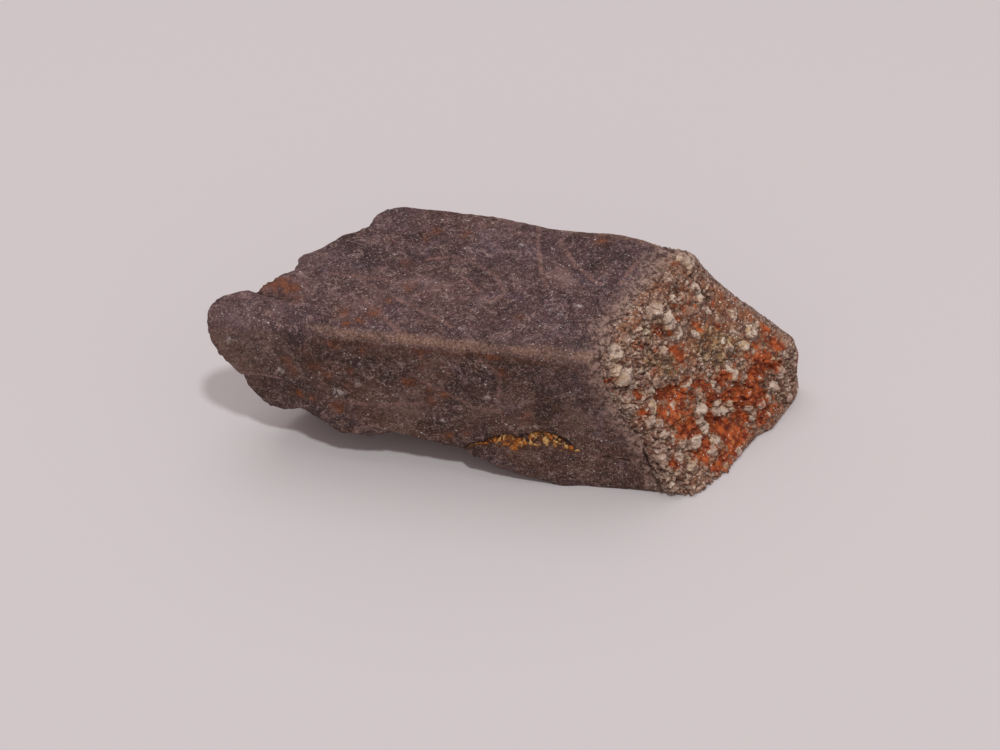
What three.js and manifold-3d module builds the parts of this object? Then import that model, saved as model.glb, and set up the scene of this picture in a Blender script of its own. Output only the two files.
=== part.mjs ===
// A loose zircon crystal: a stout square prism lying on one of its faces, broken at one end and crusted
// with feldspar grains and iron oxide at the other. Millimetres, +Z up.
//
// The long axis runs along X, the broken nose points to -X and the crusted end to +X. The shape is built in
// a working frame whose origin is on the ground, below the corner where the top front ridge meets the crust,
// and the finished solid is then moved so that the middle of its base is the origin.

import * as THREE from "three";
import { mergeVertices } from "three/addons/utils/BufferGeometryUtils.js";
import Module from "manifold-3d";

const wasm = await Module();
wasm.setup();

// ---- Driving dimensions ----

const HEIGHT = 13.1; // ground to top prism face
const WIDTH = 12.9; // front prism face to back prism face, at the crusted end
const BREAK_WIDTH = 14.8; // the same at the broken end

// Each of these lines is a list of [where, value] pairs, and between them it is straight. These two are the
// y of the front and back faces along x.
const FRONT_Y = [[-29, 0.7], [-25, 0.4], [-21, 0.05], [-18, -0.1], [15, -0.1]];
const BACK_Y = [[-16.6, BREAK_WIDTH], [-9.3, 14.5], [-4.6, 13.9], [0.7, 13.6], [4, 13.3], [9, WIDTH]];

// The rims of the crusted end: x along y on the top and base, and x along z at the front and back.
const CRUST_TOP = [[0, 0.3], [3, 1.1], [6.3, 2.7], [9.5, 4], [WIDTH, 5.2]];
const CRUST_BASE = [[0, 7.3], [0.8, 8.2], [2.3, 9.3], [4, 10.3], [5.5, 11], [6.9, 11.7], [7.8, 12.7],
  [9.6, 13.5], [11, 14.1], [WIDTH, 14.3]];
const CRUST_FRONT = [[0, 7.3], [0.8, 6.6], [2.1, 5.6], [3.6, 4.6], [5.8, 3.4], [7.5, 2.4], [9, 1.6],
  [10.5, 1], [11.9, 0.6], [HEIGHT, 0.3]];
const CRUST_BACK = [[0, 14.3], [1.8, 14.1], [3.7, 14.2], [5.1, 13.7], [5.7, 12.9], [6.7, 11.7], [8, 10.1],
  [9.3, 8.4], [10.3, 7.3], [11.3, 6.4], [HEIGHT, 5.2]];

// The rims of the broken end, in the same way. Its front rim is the blunt nose.
const BREAK_TOP = [[0, -29.2], [1.9, -29.1], [2.9, -28.4], [3.7, -26.8], [4.2, -25.8], [5.5, -24.8],
  [6.4, -23.8], [8.2, -23], [9.3, -21.9], [10.6, -20.8], [11.9, -19.2], [13.2, -18.4], [BREAK_WIDTH, -16.9]];
const BREAK_BASE = [[0, -25.4], [3, -24.6], [6, -23], [9, -20.2], [12, -17.2], [BREAK_WIDTH, -15]];
const BREAK_FRONT = [[4.7, -25.4], [5.7, -26.5], [7.3, -27], [8.2, -28], [9.2, -28.6], [10.1, -29.1],
  [11.6, -29.3], [HEIGHT, -29.2]];
const BREAK_BACK = [[0, -15], [4, -16.1], [7, -17.6], [10, -17.4], [HEIGHT, -16.9]];

// The underside is broken away towards the nose: height of its front edge, and how far back it reaches
// before it meets the ground, both along x.
const UNDERCUT_Z = [[-26, 5.2], [-24.5, 4.5], [-22.2, 4.4], [-21.3, 4.0], [-20.3, 3.2], [-19.3, 2.6],
  [-17.8, 2.7], [-16, 3.1], [-14.7, 3.05], [-12.5, 2.6], [-10, 2.2], [-8.7, 1.8], [-7.4, 1.2], [-6, 0.6],
  [-4.2, 0], [-3, -0.1]];
const UNDERCUT_Y = [[-26, 12.5], [-22, 10.5], [-18, 7.8], [-14, 5.4], [-10, 3.2], [-6, 1.2], [-3, 0.3]];
const BASE_ALLOWANCE = 0.22; // what the flat base cut takes off the bottom face
const TOP_FALL = 0.25; // by which the top face falls towards its back corner at the crusted end

// Worn edges: how far the rounding reaches from each edge.
const RIDGE_WEAR = [[-29, 1.9], [-24, 1.2], [-19, 0.8]]; // top front ridge, along x
const EDGE_WEAR = 0.6; // the other long edges
const CRUST_WEAR = 1.3; // round the crusted end
const BREAK_WEAR = 0.5; // round the broken end

// Relief: half the height between dips and rises, on the prism faces, the broken end and the undercut.
const FACE_RELIEF = 0.11;
const BREAK_RELIEF = 0.9;
const UNDERCUT_RELIEF = 0.5;

// The crusted end steps back below this line of [y, z] places, and has rusty hollows: [y, z, half width,
// half height, depth].
const CRUST_STEP = [[0.3, 11.3], [1.2, 10.3], [2.2, 9.2], [3.5, 8.1], [5.6, 6.8], [7.9, 5.6], [10.3, 5]];
const CRUST_STEP_DEPTH = 0.4;
const HOLLOWS = [[5.6, 3.2, 2.9, 2.4, 0.9], [3.2, 6.8, 1.5, 1.8, 0.6], [8.7, 4.3, 1.9, 1.7, 0.5],
  [10.6, 9.6, 1.4, 1.2, 0.35]];

// The larger feldspar lumps on the crusted end: [y, z, radius].
const LUMPS = [[1.6, 12.1, 0.95], [1.7, 10.3, 0.7], [7.2, 10.9, 0.7], [11.7, 12, 0.85], [8.9, 11.2, 0.6],
  [4.3, 11, 0.6], [10.4, 10.3, 0.55], [1.5, 8.1, 0.65], [1.1, 6.3, 0.6], [1.5, 4.6, 0.65], [0.8, 3.2, 0.8],
  [1.1, 1.8, 0.75], [4.2, 5.5, 0.7], [4, 4.1, 0.65], [3.9, 2.6, 0.8], [5.6, 3.3, 0.65], [5.1, 4.9, 0.5],
  [7.4, 5.6, 0.6], [8.9, 6.9, 0.75], [11, 6.5, 0.8], [8.1, 2.3, 0.55], [10.7, 4.2, 0.6], [11.3, 2.4, 0.6]];
const LUMP_SUNK = 0.7; // share of its radius by which a lump's middle lies below the crust
const LUMP_BULGE = 0.42; // share of its radius by which a lump's outline bulges and dips

// Between the lumps the crust is one rough coat of grains, which thins out towards the rims.
const COAT_CELLS = 24; // across and up
const COAT_MARGIN = 0.25; // from the coat's edge to the rims
const COAT_FADE = 0.9; // width of the thinning edge
const COAT_DEPTH = 2.6; // from the crust down to the coat's plain side
const GRAIN = 1.15; // size of the grains
const GRAIN_HEIGHT = 0.55;
const CRUST_SAG = 0.35; // by which the skin lies below the crust's level, for the coat to cover

// Cracks: places along each, in the x and height of the front face, or in the x and y of the top face.
const LEDGE_CRACK = [[-10.1, 2.5], [-9.4, 3], [-8.1, 3.7], [-6.8, 4.5], [-6.1, 4.3], [-5, 4.8], [-3.9, 5.2],
  [-2.8, 4.9], [-2.1, 4.4]];
const CORNER_CRACK = [[3.5, 4.4], [3.8, 3], [4.2, 2], [4.8, 0.6], [5, -0.4]];
const LOW_CRACK = [[0.5, 3.2], [1.4, 3.3], [2.4, 3.1]];
const NOSE_CRACK = [[-26.2, 4], [-25.2, 3.6], [-24.2, 3.4], [-23.2, 3.1]];

// The lip below the ledge crack: how far it stands out of the front face, over what height it rises, and
// where it begins and ends along x.
const LIP_HEIGHT = 0.4;
const LIP_RISE = 0.9;
const LIP_ENDS = [-10.6, -0.5];

// Below this line the nose steps back, by a wedge that turns from the front face.
const NOSE_STEP = [[-28.6, 7.6], [-26.8, 7.3], [-25, 7.5], [-23.4, 7.35], [-21.6, 7]];
const NOSE_STEP_TURN = THREE.MathUtils.degToRad(9);
const NOSE_STEP_END = [-21.6, 0.1]; // x and y where the wedge leaves the face

// Chips along the edges: x, y, z and radius.
const CHIPS = [[-19.9, -0.6, 2.2, 0.9], [-12.2, 15.1, 13.2, 0.8], [-3.1, -0.7, 13.5, 0.6],
  [-19, 12.1, 13.6, 0.8], [-23.6, 7, 13.5, 0.7], [1.6, 14, 13.4, 0.9], [-6.4, 14.7, 13.6, 0.9],
  [-14.2, 15.4, 0.2, 1.3], [-1, 14.3, -0.2, 1]];
const CHIP_FLATNESS = 0.55; // height of a chip over its length

// Cells of the skin along X, Y and Z. The first and last cell are one worn edge wide.
const CELLS = [32, 13, 13];
const EDGE_CELLS = [0.03, 0.05, 0.05];

// ---- Helpers ----

const clamp01 = (s) => Math.min(1, Math.max(0, s));
const ease = (s) => clamp01(s) ** 2 * (3 - 2 * clamp01(s));
const mix = (a, b, s) => a + (b - a) * s;

/** The value at s of a line of [where, value] pairs. */
function follow(line, s) {
  const next = line.findIndex(([where]) => where > s);
  if (next === 0) return line[0][1];
  if (next < 0) return line.at(-1)[1];
  const [[s0, v0], [s1, v1]] = [line[next - 1], line[next]];
  return mix(v0, v1, (s - s0) / (s1 - s0));
}

/** A repeatable number from -1 to 1 for a corner of the noise lattice. */
function cornerValue(i, j, k) {
  const n = Math.sin(i * 127.1 + j * 311.7 + k * 74.7) * 43758.5453;
  return 2 * (n - Math.floor(n)) - 1;
}

/** Smooth noise from -1 to 1 with lumps about one unit across. */
function noise(x, y, z) {
  const [i, j, k] = [x, y, z].map(Math.floor);
  const [a, b, c] = [x - i, y - j, z - k].map(ease);
  const row = (dj, dk) => mix(cornerValue(i, j + dj, k + dk), cornerValue(i + 1, j + dj, k + dk), a);
  return mix(mix(row(0, 0), row(1, 0), b), mix(row(0, 1), row(1, 1), b), c);
}

/** Relief of the given grain in millimetres: broad lumps, with half as much again at under half the size. */
const relief = (p, grain, height) =>
  height * (noise(p.x / grain, p.y / grain, p.z / grain) +
    0.5 * noise(2.3 * p.x / grain, 2.3 * p.y / grain + 7, 2.3 * p.z / grain));

/** A height gathered into steps, as a broken surface has. */
function stepped(height, step) {
  const whole = Math.floor(height / step);
  return step * (whole + ease(2 * (height / step - whole) - 0.5));
}

/** Rounded grains from 0 to 1 high on a plane, each about one unit across. */
function grains(y, z) {
  let height = 0;
  for (let j = Math.floor(y) - 1; j <= Math.floor(y) + 1; j++) {
    for (let k = Math.floor(z) - 1; k <= Math.floor(z) + 1; k++) {
      const dy = y - j - 0.5 - 0.4 * cornerValue(j, k, 1);
      const dz = z - k - 0.5 - 0.4 * cornerValue(j, k, 2);
      height = Math.max(height, 0.75 + 0.25 * cornerValue(j, k, 3) - Math.hypot(dy, dz));
    }
  }
  return clamp01(1.4 * height);
}

// ---- The skin of the crystal ----

/** The x of an end at (y, z), spanned between its rims. Base and top run along y, front and back along z. */
function spanned([base, top, front, back], y, z, width) {
  const across = clamp01(y / width);
  const up = clamp01(z / HEIGHT);
  const corners = mix(mix(follow(base, 0), follow(base, width), across),
    mix(follow(top, 0), follow(top, width), across), up);
  const upwards = mix(follow(base, y), follow(top, y), up);
  return upwards + mix(follow(front, z), follow(back, z), across) - corners;
}

/** How far the crusted end is sunk at (y, z), by its step and its hollows. */
function sunk(y, z) {
  const below = follow(CRUST_STEP, y) - z;
  const inner = ease(z / 2.5) * ease((WIDTH - y) / 2);
  let depth = CRUST_STEP_DEPTH * ease(below / 0.8) * inner;
  for (const [cy, cz, halfWidth, halfHeight, deep] of HOLLOWS) {
    depth += deep * ease(1.3 * (1 - Math.hypot((y - cy) / halfWidth, (z - cz) / halfHeight)));
  }
  return depth;
}

/** How far the lip stands out of the front face at (x, z): it grows from both ends of the ledge crack. */
function lip(x, z) {
  const [start, end] = LIP_ENDS;
  const along = ease((x - start) / 1.5) * ease((end - x) / 2.5);
  return LIP_HEIGHT * along * ease((follow(LEDGE_CRACK, x) - z) / LIP_RISE);
}

const topZ = (x, y) => HEIGHT - TOP_FALL * ease((x + 1) / 6) * clamp01(y / WIDTH);

function bottomZ(x, y) {
  const fall = clamp01(1 - (y - 0.2) / follow(UNDERCUT_Y, x));
  return follow(UNDERCUT_Z, x) * fall ** 0.9 - BASE_ALLOWANCE * ease(2 - 2 * fall);
}

const crustedX = (y, z) => spanned([CRUST_BASE, CRUST_TOP, CRUST_FRONT, CRUST_BACK], y, z, WIDTH);
const brokenX = (y, z) => spanned([BREAK_BASE, BREAK_TOP, BREAK_FRONT, BREAK_BACK], y, z, BREAK_WIDTH);

/** Even steps from 0 to 1, with the first and the last of n steps made edge wide. */
function spread(s, n, edge) {
  const inner = (s * n - 1) / (n - 2);
  if (inner < 0) return s * n * edge;
  return inner > 1 ? 1 - (1 - s) * n * edge : mix(edge, 1 - edge, inner);
}

/** The place of the skin for t along X, u across and v up, each from 0 to 1. */
function place(t, u, v) {
  // The ends lean, so the section is found again each time x comes out nearer to where it belongs.
  let [x, y, z] = [mix(-27, 10, t), 0, 0];
  let ends = [0, 0];
  for (let pass = 0; pass < 4; pass++) {
    y = mix(follow(FRONT_Y, x), follow(BACK_Y, x), u);
    z = mix(bottomZ(x, y), topZ(x, y), v);
    ends = [brokenX(y, z), crustedX(y, z)];
    x = mix(...ends, t);
  }
  return worn(x, y, z, ...ends);
}

/** The same place with its edges worn round and the relief of its faces added. */
function worn(x, y, z, broken, crusted) {
  const [front, back] = [follow(FRONT_Y, x), follow(BACK_Y, x)];
  const [bottom, top] = [bottomZ(x, y), topZ(x, y)];
  const nearFront = y - front < back - y;
  const nearTop = top - z < z - bottom;
  const nearCrust = crusted - x < x - broken;

  // Depths below the nearest face each way, drawn on to an ellipsoid where two or three faces meet.
  const depths = [
    nearCrust ? crusted - x : x - broken,
    nearFront ? y - front : back - y,
    nearTop ? top - z : z - bottom,
  ];
  const across = nearFront && nearTop ? follow(RIDGE_WEAR, x) : EDGE_WEAR;
  const wear = [nearCrust ? CRUST_WEAR : BREAK_WEAR, across, across];
  const inside = depths.map((depth, axis) => Math.max(0, 1 - depth / wear[axis]));
  const round = Math.max(...inside) / (Math.hypot(...inside) || 1);
  const [dx, dy, dz] = depths.map((depth, axis) =>
    (inside[axis] ? wear[axis] * (1 - inside[axis] * round) : depth));

  const p = new THREE.Vector3(
    nearCrust ? crusted - dx : broken + dx,
    nearFront ? front + dy : back - dy,
    nearTop ? top - dz : bottom + dz,
  );
  // Relief is full on a face and dies away below it.
  const onFace = (depth) => ease(1 - depth / 0.7);
  const face = relief(p, 4.5, FACE_RELIEF);
  const crust = -sunk(y, z) - CRUST_SAG * ease(Math.min(dy, dz) / COAT_FADE);
  const broke = stepped(relief(p, 5, BREAK_RELIEF), 0.55) + relief(p, 1.9, FACE_RELIEF);
  const under = ease(bottom / 1.2) * stepped(relief(p, 4.2, UNDERCUT_RELIEF), 0.4);
  p.x += onFace(dx) * (nearCrust ? crust : -broke * ease((y - 2) / 4));
  p.y += onFace(dy) * (nearFront ? face - lip(x, z) : -face * 1.6);
  p.z += onFace(dz) * (nearTop ? -face : face + under);
  return p;
}

// ---- Solids ----

/** A closed three.js geometry as a solid, with one vertex at each corner. */
function solid(geometry) {
  geometry.deleteAttribute("normal");
  geometry.deleteAttribute("uv");
  const welded = mergeVertices(geometry, 1e-4);
  return new wasm.Manifold(new wasm.Mesh({
    numProp: 3,
    vertProperties: Float32Array.from(welded.attributes.position.array),
    triVerts: Uint32Array.from(welded.index.array),
  }));
}

function crystalBody() {
  const skin = new THREE.BoxGeometry(1, 1, 1, ...CELLS);
  const { position } = skin.attributes;
  for (let i = 0; i < position.count; i++) {
    const cell = [position.getX(i), position.getY(i), position.getZ(i)];
    const [t, u, v] = cell.map((s, axis) => spread(s + 0.5, CELLS[axis], EDGE_CELLS[axis]));
    const p = place(t, u, v);
    position.setXYZ(i, p.x, p.y, p.z);
  }
  return solid(skin);
}

/** An angular lump of rock round a centre, each seed with its own shape, and stretched along the axes. */
function lump(centre, radius, seed, stretch = new THREE.Vector3(1, 1, 1)) {
  const rock = new THREE.IcosahedronGeometry(radius, 1);
  const { position } = rock.attributes;
  const corner = new THREE.Vector3();
  for (let i = 0; i < position.count; i++) {
    corner.fromBufferAttribute(position, i);
    const bulge = 1 + LUMP_BULGE * noise(corner.x / radius + seed, corner.y / radius, corner.z / radius);
    position.setXYZ(i, ...corner.multiplyScalar(bulge).multiply(stretch).add(centre).toArray());
  }
  return solid(rock);
}

/** The rough coat of grains, as a plate with its plain side deep in the crystal. */
function crustCoat() {
  const plate = new THREE.BoxGeometry(1, 1, 1, 1, COAT_CELLS, COAT_CELLS);
  const { position } = plate.attributes;
  for (let i = 0; i < position.count; i++) {
    const y = mix(COAT_MARGIN, WIDTH - COAT_MARGIN, position.getY(i) + 0.5);
    const z = mix(COAT_MARGIN, HEIGHT - COAT_MARGIN, position.getZ(i) + 0.5);
    const rim = Math.min(y, WIDTH - y, z, HEIGHT - z) - COAT_MARGIN;
    const height = GRAIN_HEIGHT * (grains(y / GRAIN, z / GRAIN) - 0.5) - (1 - ease(rim / COAT_FADE));
    const x = crustedX(y, z) + (position.getX(i) > 0 ? height - sunk(y, z) : -COAT_DEPTH);
    position.setXYZ(i, x, y, z);
  }
  return solid(plate);
}

/** The feldspar lumps that stand out of the coat. */
const crustLumps = () => LUMPS.map(([y, z, radius], i) =>
  lump(new THREE.Vector3(crustedX(y, z) - sunk(y, z) - LUMP_SUNK * radius, y, z), radius, i));

/** A slit along a line of places in the XZ plane: boxes end to end, as deep each way from y = 0. */
function slit(line, width, depth) {
  return line.slice(1).map(([x1, z1], i) => {
    const [x0, z0] = line[i];
    const length = Math.hypot(x1 - x0, z1 - z0);
    const box = new THREE.BoxGeometry(length + 0.8 * width, 2 * depth, width);
    box.rotateY(-Math.atan2(z1 - z0, x1 - x0));
    box.translate((x0 + x1) / 2, 0, (z0 + z1) / 2);
    return box;
  });
}

/** The flat shape of an outline in the XZ plane, from y = near to y = far. */
function slab(outline, near, far) {
  const shape = new THREE.Shape(outline.map(([x, z]) => new THREE.Vector2(x, z)));
  const plate = new THREE.ExtrudeGeometry(shape, { depth: far - near, bevelEnabled: false });
  plate.rotateX(Math.PI / 2); // the extrusion now runs to -Y
  plate.translate(0, far, 0);
  return plate;
}

/** The solid of several boxes or lumps that overlap. */
const joined = (solids) => solids.reduce((all, one) => all.add(one));

/** The cracks in the front and top faces. */
function cracks() {
  const nose = slit(NOSE_CRACK, 0.4, 0.6).map((box) => box.rotateX(-Math.PI / 2).translate(0, 0, HEIGHT));
  return joined([
    ...slit(LEDGE_CRACK, 0.35, 0.8),
    ...slit(CORNER_CRACK, 0.3, 0.7),
    ...slit(LOW_CRACK, 0.2, 0.35),
    ...nose,
  ].map(solid));
}

/** The wedge that is missing from the front of the nose, below its step. */
function noseWedge() {
  const floor = 3;
  const outline = [...NOSE_STEP, [NOSE_STEP.at(-1)[0], floor], [NOSE_STEP[0][0] - 1, floor]];
  const wedge = slab(outline, -4, 0);
  const [x, y] = NOSE_STEP_END;
  wedge.translate(-x, 0, 0);
  wedge.rotateZ(-NOSE_STEP_TURN);
  wedge.translate(x, y, 0);
  return solid(wedge);
}

/** The chips knocked out of the long edges. */
const chips = () => joined(CHIPS.map(([x, y, z, radius], i) => {
  const long = new THREE.Vector3(1 / CHIP_FLATNESS, 1, 1);
  return lump(new THREE.Vector3(x, y, z), radius, i, long);
}));

/** What lies under the ground plane, as a block to cut away, so that the base is truly flat. */
function belowGround() {
  const block = new THREE.BoxGeometry(80, 40, 10);
  block.translate(-7, WIDTH / 2, -5);
  return solid(block);
}

function toGeometry(body) {
  const { numProp, vertProperties, triVerts } = body.getMesh();
  const position = new Float32Array(3 * vertProperties.length / numProp);
  for (let i = 0; i < position.length; i++) {
    position[i] = vertProperties[numProp * Math.floor(i / 3) + (i % 3)];
  }
  const geometry = new THREE.BufferGeometry();
  geometry.setAttribute("position", new THREE.BufferAttribute(position, 3));
  geometry.setIndex(Array.from(triVerts));
  geometry.computeVertexNormals();
  geometry.computeBoundingBox();
  return geometry;
}

const grown = joined([crystalBody(), crustCoat(), ...crustLumps()]);
const crystal = new THREE.Mesh(
  toGeometry(grown.subtract(joined([cracks(), noseWedge(), chips(), belowGround()]))),
  new THREE.MeshStandardMaterial({ color: 0x5f4a46, roughness: 0.7, metalness: 0 }),
);
crystal.name = "zircon_crystal";
const box = crystal.geometry.boundingBox;
crystal.position.set(-(box.min.x + box.max.x) / 2, -(box.min.y + box.max.y) / 2, -box.min.z);

const part = new THREE.Group();
part.add(crystal);
export default part;
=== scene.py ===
"""Looks of the loose zircon crystal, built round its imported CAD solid.

Two meshes stand for the solid: crystal_body, the prism with its worn and broken surfaces, and end_crust,
the feldspar grains and iron oxide over one end. Both are shaped in a working frame in millimetres, whose
origin is on the ground, below the corner where the top front ridge meets the crust. +X runs along the
prism to the crusted end, +Y to the back and +Z up. make_object moves them to the row frame, in metres.
"""

import math
from functools import cache, reduce

import bmesh
import bpy
import numpy as np
from mathutils import Euler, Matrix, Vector


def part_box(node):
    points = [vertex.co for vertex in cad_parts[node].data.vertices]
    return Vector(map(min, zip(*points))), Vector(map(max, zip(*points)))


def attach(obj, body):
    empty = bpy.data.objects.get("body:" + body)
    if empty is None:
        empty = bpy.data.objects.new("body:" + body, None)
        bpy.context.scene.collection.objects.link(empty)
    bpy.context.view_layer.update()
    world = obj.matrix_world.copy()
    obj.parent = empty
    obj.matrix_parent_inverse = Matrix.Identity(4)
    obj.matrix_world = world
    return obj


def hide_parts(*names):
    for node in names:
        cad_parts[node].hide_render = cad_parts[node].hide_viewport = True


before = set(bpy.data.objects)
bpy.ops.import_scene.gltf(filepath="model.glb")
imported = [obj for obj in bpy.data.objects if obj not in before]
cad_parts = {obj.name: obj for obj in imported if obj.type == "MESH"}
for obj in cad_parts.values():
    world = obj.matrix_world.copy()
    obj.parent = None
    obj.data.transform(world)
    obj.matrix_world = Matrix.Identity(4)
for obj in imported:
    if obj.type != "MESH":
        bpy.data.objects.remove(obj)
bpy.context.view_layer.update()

NODE = "zircon_crystal"
MM = 0.001

# The nose's tip and the foremost point of the lip, in the working frame, fix that frame to the CAD box.
NOSE_TIP_X = -29.07
LIP_FRONT_Y = -0.55
CAD_LOW, CAD_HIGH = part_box(NODE)
ORIGIN = np.array([CAD_LOW.x / MM - NOSE_TIP_X, CAD_LOW.y / MM - LIP_FRONT_Y, CAD_LOW.z / MM])

# ---- The crystal's form: its skin is the CAD solid's, its cracks and ledges are drawn finer ----

HEIGHT = 13.1  # ground to top prism face
WIDTH = 12.9  # front to back prism face, at the crusted end
BREAK_WIDTH = 14.8  # the same at the broken end

# Lines are lists of (where, value). FRONT_Y and BACK_Y give y along x.
FRONT_Y = [(-29, 0.7), (-25, 0.4), (-21, 0.05), (-18, -0.1), (15, -0.1)]
BACK_Y = [(-16.6, BREAK_WIDTH), (-9.3, 14.5), (-4.6, 13.9), (0.7, 13.6), (4, 13.3), (9, WIDTH)]

# Rims of the ends: x along y on the base and top, x along z at the front and back.
CRUST_TOP = [(0, 0.3), (3, 1.1), (6.3, 2.7), (9.5, 4), (WIDTH, 5.2)]
CRUST_BASE = [(0, 7.3), (0.8, 8.2), (2.3, 9.3), (4, 10.3), (5.5, 11), (6.9, 11.7), (7.8, 12.7),
              (9.6, 13.5), (11, 14.1), (WIDTH, 14.3)]
CRUST_FRONT = [(0, 7.3), (0.8, 6.6), (2.1, 5.6), (3.6, 4.6), (5.8, 3.4), (7.5, 2.4), (9, 1.6),
               (10.5, 1), (11.9, 0.6), (HEIGHT, 0.3)]
CRUST_BACK = [(0, 14.3), (1.8, 14.1), (3.7, 14.2), (5.1, 13.7), (5.7, 12.9), (6.7, 11.7), (8, 10.1),
              (9.3, 8.4), (10.3, 7.3), (11.3, 6.4), (HEIGHT, 5.2)]
BREAK_TOP = [
    (0, -29.2), (1.9, -29.1), (2.9, -28.4), (3.7, -26.8), (4.2, -25.8), (5.5, -24.8), (6.4, -23.8),
    (8.2, -23), (9.3, -21.9), (10.6, -20.8), (11.9, -19.2), (13.2, -18.4), (BREAK_WIDTH, -16.9),
]
BREAK_BASE = [(0, -25.4), (3, -24.6), (6, -23), (9, -20.2), (12, -17.2), (BREAK_WIDTH, -15)]
BREAK_FRONT = [(4.7, -25.4), (5.7, -26.5), (7.3, -27), (8.2, -28), (9.2, -28.6), (10.1, -29.1),
               (11.6, -29.3), (HEIGHT, -29.2)]
BREAK_BACK = [(0, -15), (4, -16.1), (7, -17.6), (10, -17.4), (HEIGHT, -16.9)]
CRUSTED_END = (CRUST_BASE, CRUST_TOP, CRUST_FRONT, CRUST_BACK)
BROKEN_END = (BREAK_BASE, BREAK_TOP, BREAK_FRONT, BREAK_BACK)

# The undercut below the nose: height of its front edge and its reach to the back, along x.
UNDERCUT_Z = [
    (-26, 5.2), (-24.5, 4.5), (-22.2, 4.4), (-21.3, 4.0), (-20.3, 3.2), (-19.3, 2.6), (-17.8, 2.7),
    (-16, 3.1), (-14.7, 3.05), (-12.5, 2.6), (-10, 2.2), (-8.7, 1.8), (-7.4, 1.2), (-6, 0.6), (-4.2, 0),
    (-3, -0.1),
]
UNDERCUT_Y = [(-26, 12.5), (-22, 10.5), (-18, 7.8), (-14, 5.4), (-10, 3.2), (-6, 1.2), (-3, 0.3)]
BASE_ALLOWANCE = 0.22  # what the flat base takes off the bottom face
TOP_FALL = 0.25  # by which the top face falls towards its back corner at the crusted end

# Radius to which the edges are worn.
RIDGE_WEAR = [(-29, 1.9), (-24, 1.2), (-19, 0.8)]  # top front ridge, along x
EDGE_WEAR = 0.6  # the other long edges
CRUST_WEAR = 1.3  # round the crusted end
BREAK_WEAR = 0.5  # round the broken end

# Relief of the faces: size of its lumps, and height. Broken faces also step.
FACE_RELIEF = (4.5, 0.11)
BREAK_RELIEF = (5, 0.9)
FINE_BREAK_RELIEF = (1.9, 0.11)
UNDERCUT_RELIEF = (4.2, 0.5)
BREAK_STEP = 0.55
UNDERCUT_STEP = 0.4
RELIEF_FADE = 0.7  # depth below a face at which its relief has died away

# The step across the crusted end, z along y, and its hollows.
CRUST_STEP = [(0.3, 11.3), (1.2, 10.3), (2.2, 9.2), (3.5, 8.1), (5.6, 6.8), (7.9, 5.6), (10.3, 5)]
CRUST_STEP_DEPTH = 0.4
HOLLOWS = [(5.6, 3.2, 2.9, 2.4, 0.9), (3.2, 6.8, 1.5, 1.8, 0.6), (8.7, 4.3, 1.9, 1.7, 0.5),
           (10.6, 9.6, 1.4, 1.2, 0.35)]  # y, z, half width, half height, depth

# Cracks and ledges on the front face, z along x.
LEDGE_CRACK = [(-10.6, 2.35), (-9.9, 2.6), (-9.4, 3), (-8.1, 3.7), (-6.8, 4.5), (-6.1, 4.3), (-5, 4.8),
               (-3.9, 5.2), (-2.8, 4.9), (-2.1, 4.4), (-1.6, 3.9)]
LIP_HEIGHT = 0.4
LIP_ENDS = (-10.6, -0.5)
CORNER_CRACK = [(3.5, 4.4), (3.8, 3), (4.2, 2), (4.8, 0.6), (5, -0.4)]
LOW_CRACK = [(0.5, 3.2), (1.4, 3.3), (2.4, 3.1)]
NOSE_STEP = [(-28.6, 7.6), (-26.8, 7.3), (-25, 7.5), (-23.4, 7.35), (-21.6, 7.1), (-20.4, 7.2)]
NOSE_RECESS = 0.75  # by which the nose steps back below its ledge

# How far the nose's lower edge hangs below the solid's, along x. Then the crack in the nose's top, in x and
# y, and the notch behind it, as its middle and half sizes.
NOSE_DROP = [(-27, 0), (-26, 0.8), (-25, 1.3), (-23.6, 1.5), (-22.3, 0.8), (-21, 0.15), (-20, 0)]
NOSE_CRACK = [(-27.4, 4.3), (-26.2, 4), (-25.2, 3.6), (-24.2, 3.4), (-23.2, 3.1)]
NOTCH = (-24.5, 4.9, 2.2, 1.1)

# Depth and half width of the cracks.
LEDGE_CRACK_SIZE = (0.3, 0.13)
FRONT_CRACK_SIZE = (0.38, 0.14)
NOSE_CRACK_SIZE = (0.5, 0.22)
CRUST_CRACK_SIZE = (0.45, 0.16)

# The crust's edge on the front face, x along z, and on the top face, x along y.
CRUST_EDGE_FRONT = [(0, 4.9), (0.8, 4.65), (2.1, 4.15), (3.65, 3.65), (5.8, 2.68), (7.5, 1.6), (9, 0.9),
                    (10.5, 0.28), (11.9, 0.03), (HEIGHT, 0)]
CRUST_EDGE_TOP = [(0.9, -0.11), (3, -0.14), (5.7, 0.93), (7.9, 1.93), (9.9, 2.53), (11.2, 2.99),
                  (12.5, 3.38)]

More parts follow.
